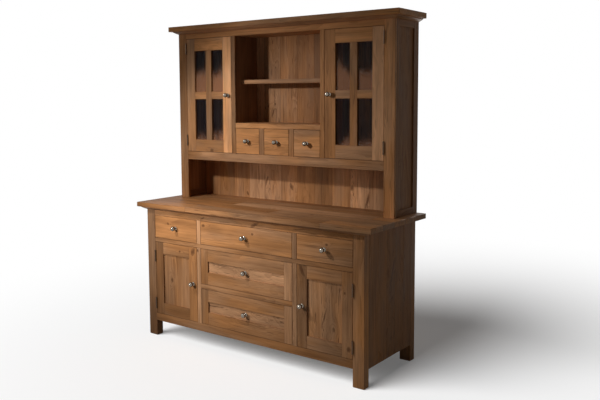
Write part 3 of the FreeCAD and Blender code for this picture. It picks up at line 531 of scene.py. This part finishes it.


# %% [markdown]
# ## Every board its own tree
# A texture on plain object coordinates would run straight on from rail to stile. So each board gets
# its own coordinates, with the first along its longest side, and its own chance numbers.
#
# A joiner sorts the boards before gluing up: light ones to the front, figured ones for the panels.
# The first table below picks a board by a point that lies in it, and says its tone, hue and figure in
# plain words. Part of that is such sorting, and part is painted light and shade: boards that stand in
# shade, on the sides and inner walls, get darker tones, and a few lit ones get paler tones.
# A board that isn't in the table gets a middling look by chance. The second table sets single knots,
# each by its point and its size.
# %% Boards that stand out
# The darkest and palest tones go mostly to boards in shade or in the lamps' light: painted shade and
# painted light
TONES = {"smoked": 0.6, "dark": 0.8, "even": 1.0, "light": 1.2, "pale": 1.4, "bleached": 1.8}
HUES = {"golden": -0.2, "warm": 0.35, "soft": 0.75, "rosy": 1.2}
FIGURES = {"plain": 0.1, "lively": 0.4, "wild": 0.8}
STANDOUTS = [
    # front frame and legs of the base
    ((-0.809, -0.259, 0.4), "dark soft plain"), ((0.809, -0.259, 0.4), "pale warm plain"),
    ((0.0, -0.272, 0.844), "light warm lively"), ((0.0, -0.272, 0.655), "even warm lively"),
    ((0.0, -0.272, 0.13), "dark warm plain"), ((0.0, -0.272, 0.398), "even warm plain"),
    ((-0.377, -0.272, 0.4), "pale rosy plain"), ((-0.377, -0.272, 0.743), "pale rosy plain"),
    ((0.377, -0.272, 0.4), "even rosy lively"), ((0.377, -0.272, 0.743), "even rosy plain"),
    ((0.809, 0.279, 0.4), "dark warm plain"),
    # doors of the base
    ((-0.736, -0.272, 0.4), "smoked warm plain"), ((-0.43, -0.272, 0.4), "even golden plain"),
    ((-0.583, -0.272, 0.6), "even warm plain"), ((-0.583, -0.272, 0.194), "dark warm plain"),
    ((-0.583, -0.272, 0.4), "even warm plain"), ((0.43, -0.272, 0.4), "dark warm lively"),
    ((0.736, -0.272, 0.4), "light warm plain"), ((0.583, -0.272, 0.6), "even warm plain"),
    ((0.583, -0.272, 0.194), "even soft plain"), ((0.583, -0.272, 0.4), "light soft wild"),
    # drawers
    ((-0.583, -0.272, 0.743), "light golden plain"), ((0.0, -0.272, 0.743), "light warm plain"),
    ((0.583, -0.272, 0.743), "light warm plain"), ((-0.33, -0.272, 0.528), "even warm lively"),
    ((0.33, -0.272, 0.528), "pale rosy plain"), ((0.0, -0.272, 0.601), "even warm plain"),
    ((0.0, -0.272, 0.455), "even warm lively"), ((0.0, -0.272, 0.528), "pale rosy wild"),
    ((-0.33, -0.272, 0.269), "dark warm plain"), ((0.33, -0.272, 0.269), "light rosy plain"),
    ((0.0, -0.272, 0.343), "even warm plain"), ((0.0, -0.272, 0.196), "even warm lively"),
    ((0.0, -0.272, 0.269), "light rosy wild"), ((-0.237, 0.051, 1.308), "light golden lively"),
    ((0.0, 0.051, 1.308), "light golden lively"), ((0.237, 0.051, 1.308), "light warm lively"),
    # side of the base, toned down and golden as painted shade
    ((0.835, -0.185, 0.487), "dark golden plain"), ((0.835, -0.084, 0.487), "dark golden plain"),
    ((0.835, 0.013, 0.487), "smoked golden wild"), ((0.835, 0.111, 0.487), "smoked golden lively"),
    ((0.835, 0.209, 0.487), "smoked golden lively"),
    # back planks of the hutch
    ((-0.613, 0.274, 1.1), "dark warm lively"), ((-0.339, 0.274, 1.1), "light rosy lively"),
    ((-0.202, 0.274, 1.1), "even soft wild"), ((-0.065, 0.274, 1.1), "even warm lively"),
    ((0.071, 0.274, 1.1), "dark golden lively"), ((0.208, 0.274, 1.1), "smoked golden plain"),
    ((0.345, 0.274, 1.1), "even warm plain"), ((0.482, 0.274, 1.1), "pale soft wild"),
    ((0.619, 0.274, 1.1), "even rosy plain"),
    # doors of the hutch
    ((-0.736, 0.05, 1.607), "light soft plain"), ((-0.407, 0.05, 1.607), "bleached soft plain"),
    ((-0.572, 0.05, 1.947), "pale warm lively"), ((-0.572, 0.05, 1.607), "dark soft plain"),
    ((0.407, 0.05, 1.607), "even golden lively"), ((0.736, 0.05, 1.607), "bleached rosy lively"),
    ((0.572, 0.05, 1.266), "light soft plain"), ((0.572, 0.05, 1.607), "even warm lively"),
    ((0.572, 0.05, 1.947), "pale warm plain"),
    # frame, sides and cap of the hutch; the sides and partitions toned as painted shade and light
    ((-0.81, 0.049, 1.471), "even warm plain"), ((0.81, 0.048, 1.471), "pale warm lively"),
    ((0.0, 0.049, 2.016), "light golden plain"), ((-0.352, 0.048, 1.607), "smoked warm lively"),
    ((0.352, 0.049, 1.607), "even golden plain"), ((0.0, 0.049, 1.409), "light warm lively"),
    ((0.833, 0.293, 1.471), "smoked golden plain"), ((0.833, 0.176, 1.462), "smoked golden lively"),
    ((0.0, 0.156, 2.058), "pale warm plain"), ((0.0, 0.026, 2.033), "light rosy plain"),
    ((-0.345, 0.162, 1.607), "smoked rosy plain"), ((0.345, 0.162, 1.607), "bleached warm plain"),
    ((-0.833, 0.176, 1.462), "dark rosy plain"), ((0.833, 0.176, 0.92), "smoked golden plain"),
    ((0.833, 0.072, 1.471), "smoked golden plain"), ((0.833, 0.176, 2.014), "smoked golden plain"),
    ((-0.833, 0.176, 0.92), "smoked rosy plain"),
    # worktop
    ((-0.512, 0.257, 0.885), "dark warm plain"), ((0.618, 0.129, 0.885), "dark warm plain"),
    ((-0.681, -0.255, 0.885), "even golden plain"), ((0.059, -0.255, 0.885), "even soft lively"),
    ((0.741, -0.255, 0.885), "light soft lively"), ((-0.393, -0.127, 0.885), "dark golden lively"),
    ((0.512, -0.127, 0.885), "even rosy lively"), ((0.228, 0.001, 0.885), "light rosy lively"),
    ((-0.598, 0.001, 0.885), "dark golden plain"), ((0.393, 0.257, 0.885), "smoked warm plain"),
]
print(len(STANDOUTS), "boards stand out")

# %% Knots given one by one
KNOTS = [
    # doors, drawers and front frame of the base
    (-0.43, -0.283, 0.61, 0.014), (0.43, -0.283, 0.61, 0.014), (-0.386, -0.283, 0.625, 0.006),
    (-0.65, -0.283, 0.77, 0.006), (-0.335, -0.283, 0.79, 0.008), (0.065, -0.283, 0.777, 0.006),
    (0.60, -0.283, 0.775, 0.006), (-0.34, -0.283, 0.835, 0.007), (0.083, -0.283, 0.835, 0.012),
    (0.72, -0.283, 0.52, 0.005), (0.58, -0.275, 0.36, 0.010),
    # side of the base, and the niche
    (0.845, 0.03, 0.6, 0.020), (-0.263, 0.274, 1.02, 0.013), (-0.20, 0.274, 1.49, 0.009),
    (-0.05, 0.274, 1.0, 0.012), (0.54, 0.274, 0.965, 0.017), (-0.43, 0.274, 0.93, 0.008),
]
print(len(KNOTS), "knots, the largest", max(knot[3] for knot in KNOTS))

# %% The look of a board
SLACK = 0.001   # a point this far outside a board still picks it
CHANCE_TONES, CHANCE_HUES = (0.88, 1.12), (0.25, 0.75)
CHANCE_FIGURES = (0.0, 0.35)   # squared, so that most boards are plain, and times 4


def within(spot, low, high):
    """Whether a point lies in a box, or as good as on it."""
    return all(low[i] - SLACK < spot[i] < high[i] + SLACK for i in range(3))


def look_of(low, high, dice):
    """The tone, hue and figure of the board in a box: from the table, or a middling one by chance."""
    look = (dice.uniform(*CHANCE_TONES), dice.uniform(*CHANCE_HUES),
            dice.uniform(*CHANCE_FIGURES) ** 2 * 4)
    for spot, words in STANDOUTS:
        if within(spot, low, high):
            tone, hue, figure = words.split()
            look = TONES[tone], HUES[hue], FIGURES[figure]
    return look


def knots_of(low, high, centre, order):
    """Two knots of the board in a box: along, across and size, all zero where there is none."""
    found = [knot for knot in KNOTS if within(knot, low, high)][:2]
    marks = [[knot[i] - centre[i] for i in order[:2]] + [knot[3]] for knot in found]
    return marks + [[0.0, 0.0, 0.0]] * (2 - len(marks))


# %% The board's own coordinates
def own_coordinates(piece, boards):
    """Writes what the pine reads: grain, half, chance and two knots, and tone, rosy and figure."""
    mesh = piece.data
    count = len(mesh.vertices)
    triples = {name: [0.0] * (3 * count) for name in ("grain", "half", "chance", "knot_a", "knot_b")}
    singles = {name: [0.0] * count for name in ("tone", "rosy", "figure")}
    members = [[] for _ in range(boards)]
    for index, item in enumerate(mesh.attributes["board"].data):
        members[round(item.value)].append(index)
    for verts in members:
        spots = [mesh.vertices[v].co for v in verts]
        low = Vector([min(spot[i] for spot in spots) for i in range(3)])
        high = Vector([max(spot[i] for spot in spots) for i in range(3)])
        centre, size = (low + high) / 2, high - low
        order = sorted(range(3), key=lambda i: -size[i])
        # The board's middle in whole millimetres seeds its dice, so that each run draws the same
        dice = random.Random(str([round(value * 1000) for value in centre]))
        chance = [dice.random() for _ in range(3)]
        look = look_of(low, high, dice)
        half = [size[i] / 2 for i in order]
        marks = knots_of(low, high, centre, order)
        for v in verts:
            grain = [(mesh.vertices[v].co - centre)[i] for i in order]
            for name, triple in zip(triples, (grain, half, chance, *marks)):
                triples[name][3 * v:3 * v + 3] = triple
            for name, number in zip(singles, look):
                singles[name][v] = number
    for name, numbers in triples.items():
        mesh.attributes.new(name, "FLOAT_VECTOR", "POINT").data.foreach_set("vector", numbers)
    for name, numbers in singles.items():
        mesh.attributes.new(name, "FLOAT", "POINT").data.foreach_set("value", numbers)


# %% A worked piece
SHOWN, HIDDEN = (0.001, 2), (0.0008, 1)   # width and steps of the eased edges


def work(node, finish, edges):
    """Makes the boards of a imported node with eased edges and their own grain, on the node's body."""
    packed = frame["nodes"][node]
    piece = bpy.data.objects.new(node + "_worked", packed.data.copy())
    bpy.context.scene.collection.objects.link(piece)
    piece.data.materials.clear()
    piece.data.materials.append(finish)
    boards = number_boards(piece.data)
    ease_edges(piece, boards, *edges)
    own_coordinates(piece, boards)
    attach(piece, packed["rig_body"])
    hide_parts(node)
    return boards


# %% [markdown]
# ## The carcase
# The base frame, its planks, the worktop and the hutch are waxed. What is inside the base is left
# bare, as makers mostly leave it, and bare pine stays paler. All of it could be modelled again here,
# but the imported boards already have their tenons, tongues and grooves, so they are only worked.
# %% Base, worktop and hutch
waxed = ["base_legs", "base_front_rails", "base_muntins", "base_side_planks", "worktop",
         "worktop_moulding", "cornice_board", "cornice_moulding", "hutch_face_frame",
         "hutch_side_frames", "hutch_side_panels", "hutch_back", "hutch_carcase_boards",
         "hutch_shelves"]
bare = ["base_back", "base_carcase_boards", "base_drawer_runners", "base_shelves", "door_catches"]
print("waxed boards:", sum(work(node, waxed_pine, SHOWN) for node in waxed))
print("bare boards:", sum(work(node, bare_pine, HIDDEN) for node in bare))

# %% [markdown]
# ## Doors and drawers
# A door's frame and panel and a drawer's front are waxed like the carcase, and the drawer boxes are
# bare. The names of the nodes say which is which, so a loop over them takes up all four doors and
# eight drawers. Each piece rides on its own door or drawer, and so moves with it.
# %% Doors and drawers
boards = 0
for node in sorted(frame["nodes"]):
    if node.endswith(("_frame", "_panel", "_front")) and "hutch_face" not in node:
        boards += work(node, waxed_pine, SHOWN)
    if node.endswith("_box"):
        boards += work(node, bare_pine, HIDDEN)
print("boards of doors and drawers:", boards)

# %% [markdown]
# ## The knobs
# A ball knob is turned in one piece: a ball, a neck and a dished rose. It could be spun from an
# outline, but most of it is a plain ball, so it starts as a sphere with its pole towards the front.
# The back of the sphere is cut away, and the open edge is drawn back and widened step by step. One is
# made and copied twelve times.
# %% Turning a knob
BALL, NECK, ROSE, REACH = 0.015, 0.0055, 0.012, 0.038   # three radii, and from the front to the wood
ROSE_DEPTH, ROSE_EDGE, LIP = 0.005, 0.0015, 0.001       # from the wood, and the lip from the edge
INNER_ROSE = 0.94                                       # where the lip starts, as a share of the rose
SMOOTH = math.radians(32)                               # a gentler bend than this looks round

bpy.ops.object.select_all(action="DESELECT")
bpy.ops.mesh.primitive_uv_sphere_add(segments=40, ring_count=28, radius=BALL,
                                     rotation=(math.pi / 2, 0, 0))
knob = bpy.context.object
knob.name = "knob_pattern"
bpy.ops.object.transform_apply(location=False, rotation=True, scale=False)
bpy.ops.object.mode_set(mode="EDIT")
bpy.ops.mesh.select_all(action="SELECT")
neck_at, wood_at = math.sqrt(BALL ** 2 - NECK ** 2), REACH - BALL
rose_at, lip_at, edge_at = wood_at - ROSE_DEPTH, wood_at - ROSE_EDGE - LIP, wood_at - ROSE_EDGE
bpy.ops.mesh.bisect(plane_co=(0, neck_at, 0), plane_no=(0, 1, 0), clear_outer=True)
for start, end, widen in ((neck_at, rose_at, 1.0), (rose_at, lip_at, ROSE * INNER_ROSE / NECK),
                          (lip_at, edge_at, 1 / INNER_ROSE), (edge_at, wood_at, 1.0)):
    bpy.ops.mesh.extrude_region_move(TRANSFORM_OT_translate={"value": (0, end - start, 0)})
    bpy.ops.transform.resize(value=(widen, 1, widen), center_override=(0, end, 0))
bpy.ops.mesh.edge_face_add()
bpy.ops.mesh.select_all(action="SELECT")
bpy.ops.mesh.normals_make_consistent(inside=False)
bpy.ops.object.mode_set(mode="OBJECT")
bpy.ops.object.shade_smooth_by_angle(angle=SMOOTH)
knob.data.materials.append(nickel)
print("a knob has", len(knob.data.polygons), "faces")

# %% Fitting twelve knobs
fitted_knobs = 0
for node in sorted(frame["nodes"]):
    if not node.endswith("_knob"):
        continue
    low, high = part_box(node)
    ball_at = ((low.x + high.x) / 2, low.y + BALL, (low.z + high.z) / 2)
    fitted = bpy.data.objects.new(node + "_turned", knob.data.copy())
    bpy.context.scene.collection.objects.link(fitted)
    fitted.data.transform(Matrix.Translation(ball_at))
    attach(fitted, frame["nodes"][node]["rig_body"])
    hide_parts(node)
    fitted_knobs += 1
bpy.data.objects.remove(knob)
print("knobs fitted:", fitted_knobs)

# %% [markdown]
# ## Hinges and panes
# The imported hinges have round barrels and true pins, and the panes are flat. Making them again would
# add nothing to see, so they stay as packed and only get their finish.
# %% Hinges and panes
finished = []
for node, piece in frame["nodes"].items():
    finish = glass if node.endswith("_glass") else dark_steel if "hinge" in node else None
    if finish:
        piece.data.materials.clear()
        piece.data.materials.append(finish)
        finished.append(node)
print("finished as packed:", len(finished), "nodes")

# %% [markdown]
# ## The studio
# The floor is a wide pale sheet. Far from the dresser it has to melt into the white behind it, and near
# the dresser it has to hold the shadow. A bright floor alone would do the first and lose the second. So
# the sheet is plain pale paint near the piece, and mixes towards white with distance, for the rays
# that look at it. For the light that bounces off it the sheet is dark, so that it doesn't light the
# wood from below.
# %% Floor
FLOOR_SIDE = 60
PALE, BOUNCE, WHITE = (0.9, 0.9, 0.9, 1.0), (0.11, 0.11, 0.11, 1.0), (1.0, 1.0, 1.0, 1.0)
SHADOW_MIDDLE, SHADOW_OVAL = (0.35, 0.5, 0.0), (0.8, 0.7, 0.0)
FADE_FROM, FADE_TO = 0.5, 2.8   # distances between which the sheet melts into white
FADE_START = 0.12               # how white it is before that


def seen_rays(tree):
    """1 for a ray that looks at something: from the camera, in a gloss or through a pane."""
    path = add_node(tree, "LightPath")
    seen = maths(tree, "MAXIMUM", path.outputs["Is Camera Ray"], path.outputs["Is Glossy Ray"])
    return maths(tree, "MAXIMUM", seen, path.outputs["Is Transmission Ray"])


def studio_sheet():
    """Pale paint that mixes towards white with distance."""
    finish, tree, shader = new_finish("studio_sheet")
    place = add_node(tree, "TexCoord").outputs["Object"]
    spread = vectors(tree, "SUBTRACT", place, SHADOW_MIDDLE)
    spread = vectors(tree, "LENGTH", vectors(tree, "MULTIPLY", spread, SHADOW_OVAL))
    seen = seen_rays(tree)
    amount = maths(tree, "MULTIPLY", ramp(tree, spread, FADE_FROM, FADE_TO, FADE_START, 1.0), seen)
    white = add_node(tree, "Emission", WHITE, 1.0)
    mixed = add_node(tree, "MixShader", amount, shader.outputs[0], white.outputs[0])
    tree.links.new(blend(tree, seen, BOUNCE, PALE), shader.inputs["Base Color"])
    tree.links.new(mixed.outputs[0], tree.nodes["Material Output"].inputs["Surface"])
    shader.inputs["Roughness"].default_value = 0.9
    shader.inputs["Specular IOR Level"].default_value = 0.1
    return finish


bpy.ops.object.select_all(action="DESELECT")
bpy.ops.mesh.primitive_plane_add(size=FLOOR_SIDE, location=(0, 0, 0))
floor = bpy.context.object
floor.name = "studio_floor"
floor.data.materials.append(studio_sheet())
floor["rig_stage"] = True
print("the floor is", FLOOR_SIDE, "m wide and melts into white over", round(FADE_TO - FADE_FROM, 1), "m")

# %% [markdown]
# ## Light
# The room is white to look at, but gives hardly any light. The light comes from lamps. The upper lamp
# hangs close in front of the hutch, to the left, and throws the shadows of its frame into the niche
# and the open compartment. The lower lamp stands further back and lights the left of the base, so that
# the front darkens towards the right. A side lamp and a back lamp are weak and broad, and keep the
# sides and the back from going black. A bright world would be simpler, but wood lit from all sides
# looks flat.
#
# A lamp that close would leave a bright pool on the floor and hard shadows. So none of these four
# lights the floor. The floor has a lamp of its own, a broad sun from the front left, which lights
# nothing else and draws one soft shadow behind the dresser to the right.
# %% Room light
ROOM_LIGHT = 0.025

world = bpy.data.worlds.new("studio")
bpy.context.scene.world = world
world.use_nodes = True
background = world.node_tree.nodes["Background"]
background.inputs["Color"].default_value = WHITE
strength = ramp(world.node_tree, seen_rays(world.node_tree), 0.0, 1.0, ROOM_LIGHT, 1.0)
world.node_tree.links.new(strength, background.inputs["Strength"])
print("the room is white to look at, and lights with", ROOM_LIGHT)

# %% Lamps
def add_lamp(kind, name, place, target, power):
    """A lamp at a place that shines at a point."""
    bpy.ops.object.select_all(action="DESELECT")
    bpy.ops.object.light_add(type=kind, location=place)
    lamp = bpy.context.object
    lamp.name = name
    lamp.data.energy = power
    lamp.rotation_euler = (Vector(target) - lamp.location).to_track_quat("-Z", "Y").to_euler()
    return lamp


def spot_lamp(name, place, target, power, spread, size, softness):
    """A round lamp with a soft-edged cone."""
    lamp = add_lamp("SPOT", name, place, target, power)
    lamp.data.spot_size = math.radians(spread)
    lamp.data.spot_blend = softness
    lamp.data.shadow_soft_size = size
    return lamp


def disk_lamp(name, place, target, power, size):
    """A broad round lamp without a cone."""
    lamp = add_lamp("AREA", name, place, target, power)
    lamp.data.shape = "DISK"
    lamp.data.size = size
    return lamp


wood_lamps = [
    spot_lamp("upper_lamp", (-0.9, -1.2, 1.92), (0.0, 0.05, 1.0), power=66.0, spread=84,
              size=0.04, softness=1.0),
    spot_lamp("lower_lamp", (-1.35, -2.2, 1.4), (-0.28, -0.283, 0.51), power=110.0, spread=42,
              size=0.12, softness=0.8),
    disk_lamp("side_lamp", (-2.4, -2.6, 3.0), (0.0, 0.0, 1.2), power=9.0, size=1.0),
    disk_lamp("back_lamp", (0.2, 3.6, 1.9), (0.0, 0.3, 1.0), power=30.0, size=1.4)]
floor_lamp = add_lamp("SUN", "floor_lamp", (-1.8, -3.3, 2.9), (0.0, 0.0, 0.0), power=4.65)
floor_lamp.data.angle = math.radians(52)
print("lamps:", [lamp.name for lamp in (*wood_lamps, floor_lamp)])

# %% Which lamp lights the floor
for lamp in (*wood_lamps, floor_lamp):
    lit = bpy.data.collections.new(lamp.name + "_lights")
    lit.objects.link(floor)
    state = "INCLUDE" if lamp == floor_lamp else "EXCLUDE"
    lit.collection_objects[0].light_linking.link_state = state
    lamp.light_linking.receiver_collection = lit
    print(lamp.name, state.lower() + "s the floor")

# %% [markdown]
# ## The camera
# It stands to the right of the dresser at eye height and looks slightly down. The view is slid down a
# little, instead of tilting the camera more, so that upright edges stay nearly upright.
# %% Camera
CAMERA_AT = (2.82345, -3.57947, 1.58127)
TURN, TILT, ROLL = 36.09, -5.43, -0.25   # degrees to the left, upwards and sideways
LENS, SENSOR_WIDTH = 43.68, 36.0         # millimetres
SLIDE, PICTURE_WIDTH = -32, 600          # pixels

bpy.ops.object.camera_add(location=CAMERA_AT)
camera = bpy.context.object
turn = Matrix.Rotation(math.radians(TURN), 3, "Z")
tilt = Matrix.Rotation(math.radians(90.0 + TILT), 3, "X")
roll = Matrix.Rotation(math.radians(ROLL), 3, "Z")
camera.rotation_euler = (turn @ tilt @ roll).to_euler()
camera.data.lens = LENS
camera.data.sensor_width = SENSOR_WIDTH
camera.data.shift_y = SLIDE / PICTURE_WIDTH
bpy.context.scene.camera = camera
bpy.context.scene.view_settings.view_transform = "Standard"
print("the camera stands at", [round(value, 2) for value in camera.location])

# %% Sizes, and the end
visual_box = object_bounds()
for name, box in (("cad", cad_box), ("visual", visual_box)):
    print(name, [round(value, 4) for corner in box for value in corner])
